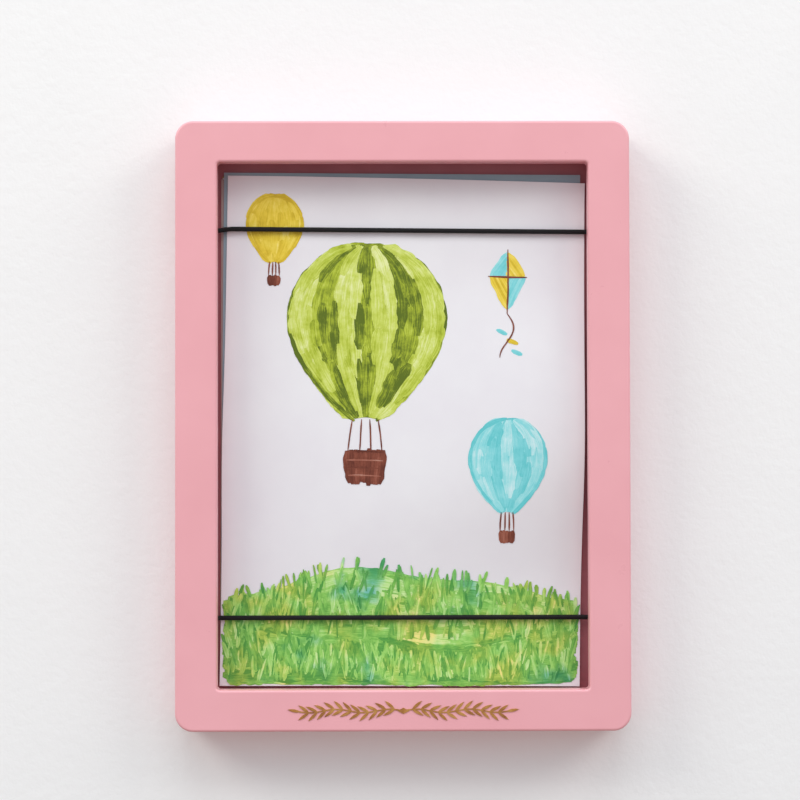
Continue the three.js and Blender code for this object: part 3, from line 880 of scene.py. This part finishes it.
def build_sheets():
    """The painting in front, and the sheets stored behind it, each held flatter than the one before it."""
    artwork = Sheet("artwork_sheet", "artwork", slack=1.0)
    artwork.build("artwork_paper", white_paper, "white_paper", cell=3)
    paint_picture(artwork)
    stored = [
        ("stored_sheet_1", "stored_1", 0.8, blue_grey_paper, "blue_grey_paper"),
        # The second stored sheet is white paper, coloured dim as painted shade
        ("stored_sheet_2", "stored_2", 0.62, white_paper_in_painted_shade, "white_paper"),
        ("stored_sheet_3", "stored_3", 0.46, white_paper, "white_paper"),
        ("stored_sheet_4", "stored_4", 0.32, olive_paper, "olive_paper"),
    ]
    for node, body, slack, material, slot in stored:
        Sheet(node, body, slack).build(f"{node}_paper", material, slot, cell=6)


# Elastic cords


def tube(name, path, radius, material):
    """A round bar along a path of places in the frame, its ends closed flat."""
    around = 20
    centres = [Vector(p) for p in path]
    rings = []
    uvs = []
    run = 0.0
    for k, centre in enumerate(centres):
        before = centres[max(k - 1, 0)]
        after = centres[min(k + 1, len(centres) - 1)]
        along = (after - before).normalized()
        out = Vector((0, -1, 0))
        up = along.cross(out).normalized()
        run += (centre - before).length
        for step in range(around):
            angle = 2 * math.pi * step / around
            rings.append(centre + (out * math.cos(angle) + up * math.sin(angle)) * radius)
            uvs.append((run, step / around))
    faces = []
    for k in range(len(centres) - 1):
        faces.extend(band(k * around, (k + 1) * around, around))
    last = (len(centres) - 1) * around
    faces.append(tuple(range(around - 1, -1, -1)))
    faces.append(tuple(last + step for step in range(around)))
    obj = mesh_object(name, rings, faces, material, uvs=uvs)
    for polygon in obj.data.polygons[-2:]:
        polygon.use_smooth = False
    return obj


def cord_height(x, left, right, lift):
    """Height of a cord at x: straight, but for a rise over the edge of the paper near its left end."""
    wall = -RECESS_SIDE
    if x <= wall:
        return left
    if x <= CORD_REST:
        share = (x - wall) / (CORD_REST - wall)
        return left + lift * share
    share = (x - CORD_REST) / (RECESS_SIDE - CORD_REST)
    return left + lift + (right - left - lift) * min(share, 1)


def build_cord(name, ends, lift):
    """One elastic: a half on each side, and a tail in each stile."""
    left, right = ends
    step = 1.5

    def run(start, end):
        count = max(2, round(abs(end - start) / step))
        places = []
        for k in range(count + 1):
            x = start + (end - start) * k / count
            around = [cord_height(x + d, left, right, lift) for d in (-step, 0, step)]
            places.append(at(x, CORD_DEPTH, sum(around) / 3))
        return places

    radius = CORD_RADIUS / 1000
    halves = [
        (f"{name}_left_half", -RECESS_SIDE, 0),
        (f"{name}_right_half", RECESS_SIDE, 0),
    ]
    for piece, start, end in halves:
        half = tube(piece, run(start, end), radius, elastic_sheath)
        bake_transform(half)
        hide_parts(name)
    tails = [
        (f"{name}_left_tail", -RECESS_SIDE, -CORD_END),
        (f"{name}_right_tail", RECESS_SIDE, CORD_END),
    ]
    for piece, start, end in tails:
        tail = tube(piece, run(start, end), radius, elastic_sheath)
        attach(tail, "frame")
        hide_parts(name)


# Screws with a cross recess

HANGERS = ("upright_hanger", "sideways_hanger")


def cross_cutter(arm, width, depth, top):
    """A tapered cross that cuts the recess of a screw head. It stands on the plane y = top."""
    outline = [
        (width, arm), (-width, arm), (-width, width), (-arm, width), (-arm, -width), (-width, -width),
        (-width, -arm), (width, -arm), (width, -width), (arm, -width), (arm, width), (width, width),
    ]
    vertices = []
    for shrink, y in ((1.12, top + depth * 0.3), (0.55, top - depth)):
        vertices.extend((x * shrink, y, z * shrink) for x, z in outline)
    count = len(outline)
    faces = [tuple(range(count)), tuple(range(2 * count - 1, count - 1, -1))]
    faces.extend(band(count, 0, count))
    return vertices, faces


def screw_mesh(name, head_diameter, head_height, length):
    """A pan head screw along -Y with a cross recess, in millimetres from the underside of its head."""
    head = head_diameter / 2
    shank = 1.1
    tip = 0.001
    point_length = 1.6
    profile = [
        (tip, -length),
        (shank, point_length - length),
        (shank, 0),
        (head * 0.94, 0),
        (head, 0.1 * head_height),
    ]
    for step in range(9):
        angle = step / 8 * math.pi / 2
        reach = head * (0.42 + 0.58 * math.cos(angle))
        profile.append((reach, head_height * (0.35 + 0.65 * math.sin(angle))))
    profile.append((tip, head_height))
    around = 32
    vertices = []
    for radius, y in profile:
        for step in range(around):
            angle = 2 * math.pi * step / around
            vertices.append((radius * math.cos(angle), y, radius * math.sin(angle)))
    faces = []
    for row in range(len(profile) - 1):
        faces.extend(band((row + 1) * around, row * around, around))
    faces.append(tuple(range(around)))
    last = (len(profile) - 1) * around
    faces.append(tuple(last + step for step in range(around - 1, -1, -1)))
    blank = mesh_object(f"{name}_blank", vertices, faces, screw_zinc)
    cutter_vertices, cutter_faces = cross_cutter(head * 0.56, head * 0.13, head_height * 0.62, head_height)
    cutter = mesh_object(f"{name}_cutter", cutter_vertices, cutter_faces, screw_zinc, smooth=False)
    cut = blank.modifiers.new("recess", "BOOLEAN")
    cut.operation = "DIFFERENCE"
    cut.solver = "EXACT"
    cut.object = cutter
    bpy.context.view_layer.update()
    mesh = bpy.data.meshes.new_from_object(blank.evaluated_get(bpy.context.evaluated_depsgraph_get()))
    mesh.name = name
    mesh.transform(Matrix.Scale(0.001, 4))
    mesh.set_sharp_from_angle(angle=math.radians(38))
    bpy.data.objects.remove(blank)
    bpy.data.objects.remove(cutter)
    return mesh


def build_screws():
    """All screws, each kind from one mesh and every screw turned as it stopped."""
    chance = random.Random(5)
    panel_screws = [f"panel_screw_{k}" for k in range(1, 9)]
    hanger_screws = [f"{hanger}_screw_{k}" for hanger in HANGERS for k in (1, 2)]
    # Head diameter, head height and length
    kinds = [
        ("panel_screw", panel_screws, 4.2, 1.8, 11),
        ("hanger_screw", hanger_screws, 4, 1.2, 9),
    ]
    for kind, nodes, diameter, height, length in kinds:
        mesh = screw_mesh(kind, diameter, height, length)
        for node in nodes:
            low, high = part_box(node)
            obj = bpy.data.objects.new(f"{node}_driven", mesh)
            bpy.context.scene.collection.objects.link(obj)
            place = Vector(((low.x + high.x) / 2, high.y - height / 1000, (low.z + high.z) / 2))
            obj.matrix_world = Matrix.Translation(place) @ Matrix.Rotation(chance.uniform(0, math.pi), 4, "Y")
            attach(obj, "frame")
            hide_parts(node)


def finish_nodes():
    """Gives the CAD nodes that are seen themselves their materials."""
    finishes = [
        (pink_paint, ("top_rail", "bottom_rail", "left_stile", "right_stile")),
        (panel_board, ("back_panel",)),
        (zinc_plate, HANGERS),
        (sleeve_brass, [f"{row}_{side}_sleeve" for row in ("upper", "lower") for side in ("left", "right")]),
        (gold_transfer, ("leaf_scroll",)),
    ]
    for material, nodes in finishes:
        for node in nodes:
            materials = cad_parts[node].data.materials
            materials.clear()
            materials.append(material)


build_fascia()
finish_nodes()
build_sheets()
build_cord("upper_elastic", UPPER_CORD, UPPER_CORD_LIFT)
build_cord("lower_elastic", LOWER_CORD, 0)
build_screws()

# The wall and the floor: pale, seen only from their own side


def stage_material(name, color, ripple):
    """Faintly rippled and mottled paint, clear from behind."""
    shader = Shader(name)
    place = shader.place()
    height = shader.noise(place, ripple, 3.0, 0.6)
    mottle = shader.noise(place, ripple * 0.1, 4.0, 0.6)
    paler = tuple(c * 1.015 for c in color)
    tint = shader.ramp(mottle, [(0.3, color), (0.7, paler)])
    normal = shader.bump(height, 0.0005, 0.6)
    diffuse = shader.add("ShaderNodeBsdfDiffuse", {"Color": tint, "Normal": normal}).outputs[0]
    clear = shader.add("ShaderNodeBsdfTransparent").outputs[0]
    behind = shader.add("ShaderNodeNewGeometry").outputs["Backfacing"]
    mixed = shader.add("ShaderNodeMixShader", {0: behind, 1: diffuse, 2: clear}).outputs[0]
    shader.tree.links.new(mixed, shader.output.inputs["Surface"])
    return shader.material


def stage_sheet(name, corners, material):
    """A flat sheet of the stage, which takes light and gives none to the object."""
    obj = mesh_object(name, corners, [(0, 1, 2, 3)], material, smooth=False)
    obj.visible_diffuse = False
    obj.visible_glossy = False
    obj.visible_transmission = False
    obj.visible_shadow = False


WALL_Y = 0.0004
FLOOR_Z = -1.0
REACH = 4.0
stage_sheet(
    "wall",
    [(-REACH, WALL_Y, FLOOR_Z), (REACH, WALL_Y, FLOOR_Z), (REACH, WALL_Y, REACH), (-REACH, WALL_Y, REACH)],
    stage_material("wall_plaster", (0.87, 0.844, 0.848, 1.0), 160.0),
)
stage_sheet(
    "floor",
    [(-REACH, -REACH, FLOOR_Z), (REACH, -REACH, FLOOR_Z), (REACH, REACH, FLOOR_Z), (-REACH, REACH, FLOOR_Z)],
    stage_material("floor_paint", (0.76, 0.65, 0.58, 1.0), 90.0),
)

# Light: a room dim and warm below and bright above, greyer where it is seen, and three wide soft lamps

world = bpy.data.worlds.new("room")
bpy.context.scene.world = world
room = Nodes(world)
rise = room.range(room.parts(room.place("Generated"))["Z"], -1.0, 1.0)
graded = room.mix(rise, (0.27, 0.13, 0.075, 1.0), (0.72, 0.91, 1.0, 1.0))
backdrop = room.mix(rise, (0.36, 0.33, 0.32, 1.0), (0.8, 0.84, 0.86, 1.0))
rays = room.add("ShaderNodeLightPath").outputs
seen = room.math("MAXIMUM", rays["Is Camera Ray"], rays["Is Glossy Ray"])
seen = room.math("MAXIMUM", seen, rays["Is Transmission Ray"])
background = room.add("ShaderNodeBackground", {"Color": room.mix(seen, graded, backdrop), "Strength": 1.28})
room.add("ShaderNodeOutputWorld", {"Surface": background.outputs[0]})

LAMP_DISTANCE = 2.6
LAMP_WIDTH = 1.43
LAMP_HEIGHT = 1.04


def towards(yaw, pitch):
    """A direction turned to the right and up from straight at the wall, in radians."""
    return Vector((math.sin(yaw) * math.cos(pitch), math.cos(yaw) * math.cos(pitch), math.sin(pitch)))


def lamp(name, azimuth, elevation, power, color):
    """A wide soft lamp that faces the frame. Azimuth runs to the right, both angles in degrees."""
    light = bpy.data.lights.new(name, "AREA")
    light.shape = "RECTANGLE"
    light.size = LAMP_WIDTH
    light.size_y = LAMP_HEIGHT
    light.energy = power
    light.color = color
    obj = bpy.data.objects.new(name, light)
    bpy.context.scene.collection.objects.link(obj)
    beam = towards(-math.radians(azimuth), -math.radians(elevation))
    obj.location = at(0, 0, 0) - beam * LAMP_DISTANCE
    obj.rotation_euler = beam.to_track_quat("-Z", "Y").to_euler()


lamp("window_left", -60, 34, 24.6, (1.0, 0.97, 0.88))
lamp("window_right", 60, 34, 19.4, (1.0, 0.94, 0.89))
lamp("skylight", 0, 54, 13.9, (0.94, 1.0, 0.97))

# Camera, as the photograph was taken

YAW = 0.008259
PITCH = 0.022765
ROLL = 0.001905
CAMERA_PLACE = at(-12.383, -1300, -15.034)
SENSOR_WIDTH = 36
LENS = 100.99
forward = towards(YAW, PITCH)
level = Vector((math.cos(YAW), -math.sin(YAW), 0))
upright = level.cross(forward)
right = math.cos(ROLL) * level - math.sin(ROLL) * upright
up = math.sin(ROLL) * level + math.cos(ROLL) * upright
camera = bpy.data.cameras.new("camera")
camera.sensor_fit = "HORIZONTAL"
camera.sensor_width = SENSOR_WIDTH
camera.lens = LENS
camera.clip_start = 0.05
camera.clip_end = 50
camera_object = bpy.data.objects.new("camera", camera)
bpy.context.scene.collection.objects.link(camera_object)
turn = Matrix((right, up, -forward)).transposed().to_4x4()
camera_object.matrix_world = Matrix.Translation(CAMERA_PLACE) @ turn
bpy.context.scene.camera = camera_object
bpy.context.scene.view_settings.view_transform = "Standard"
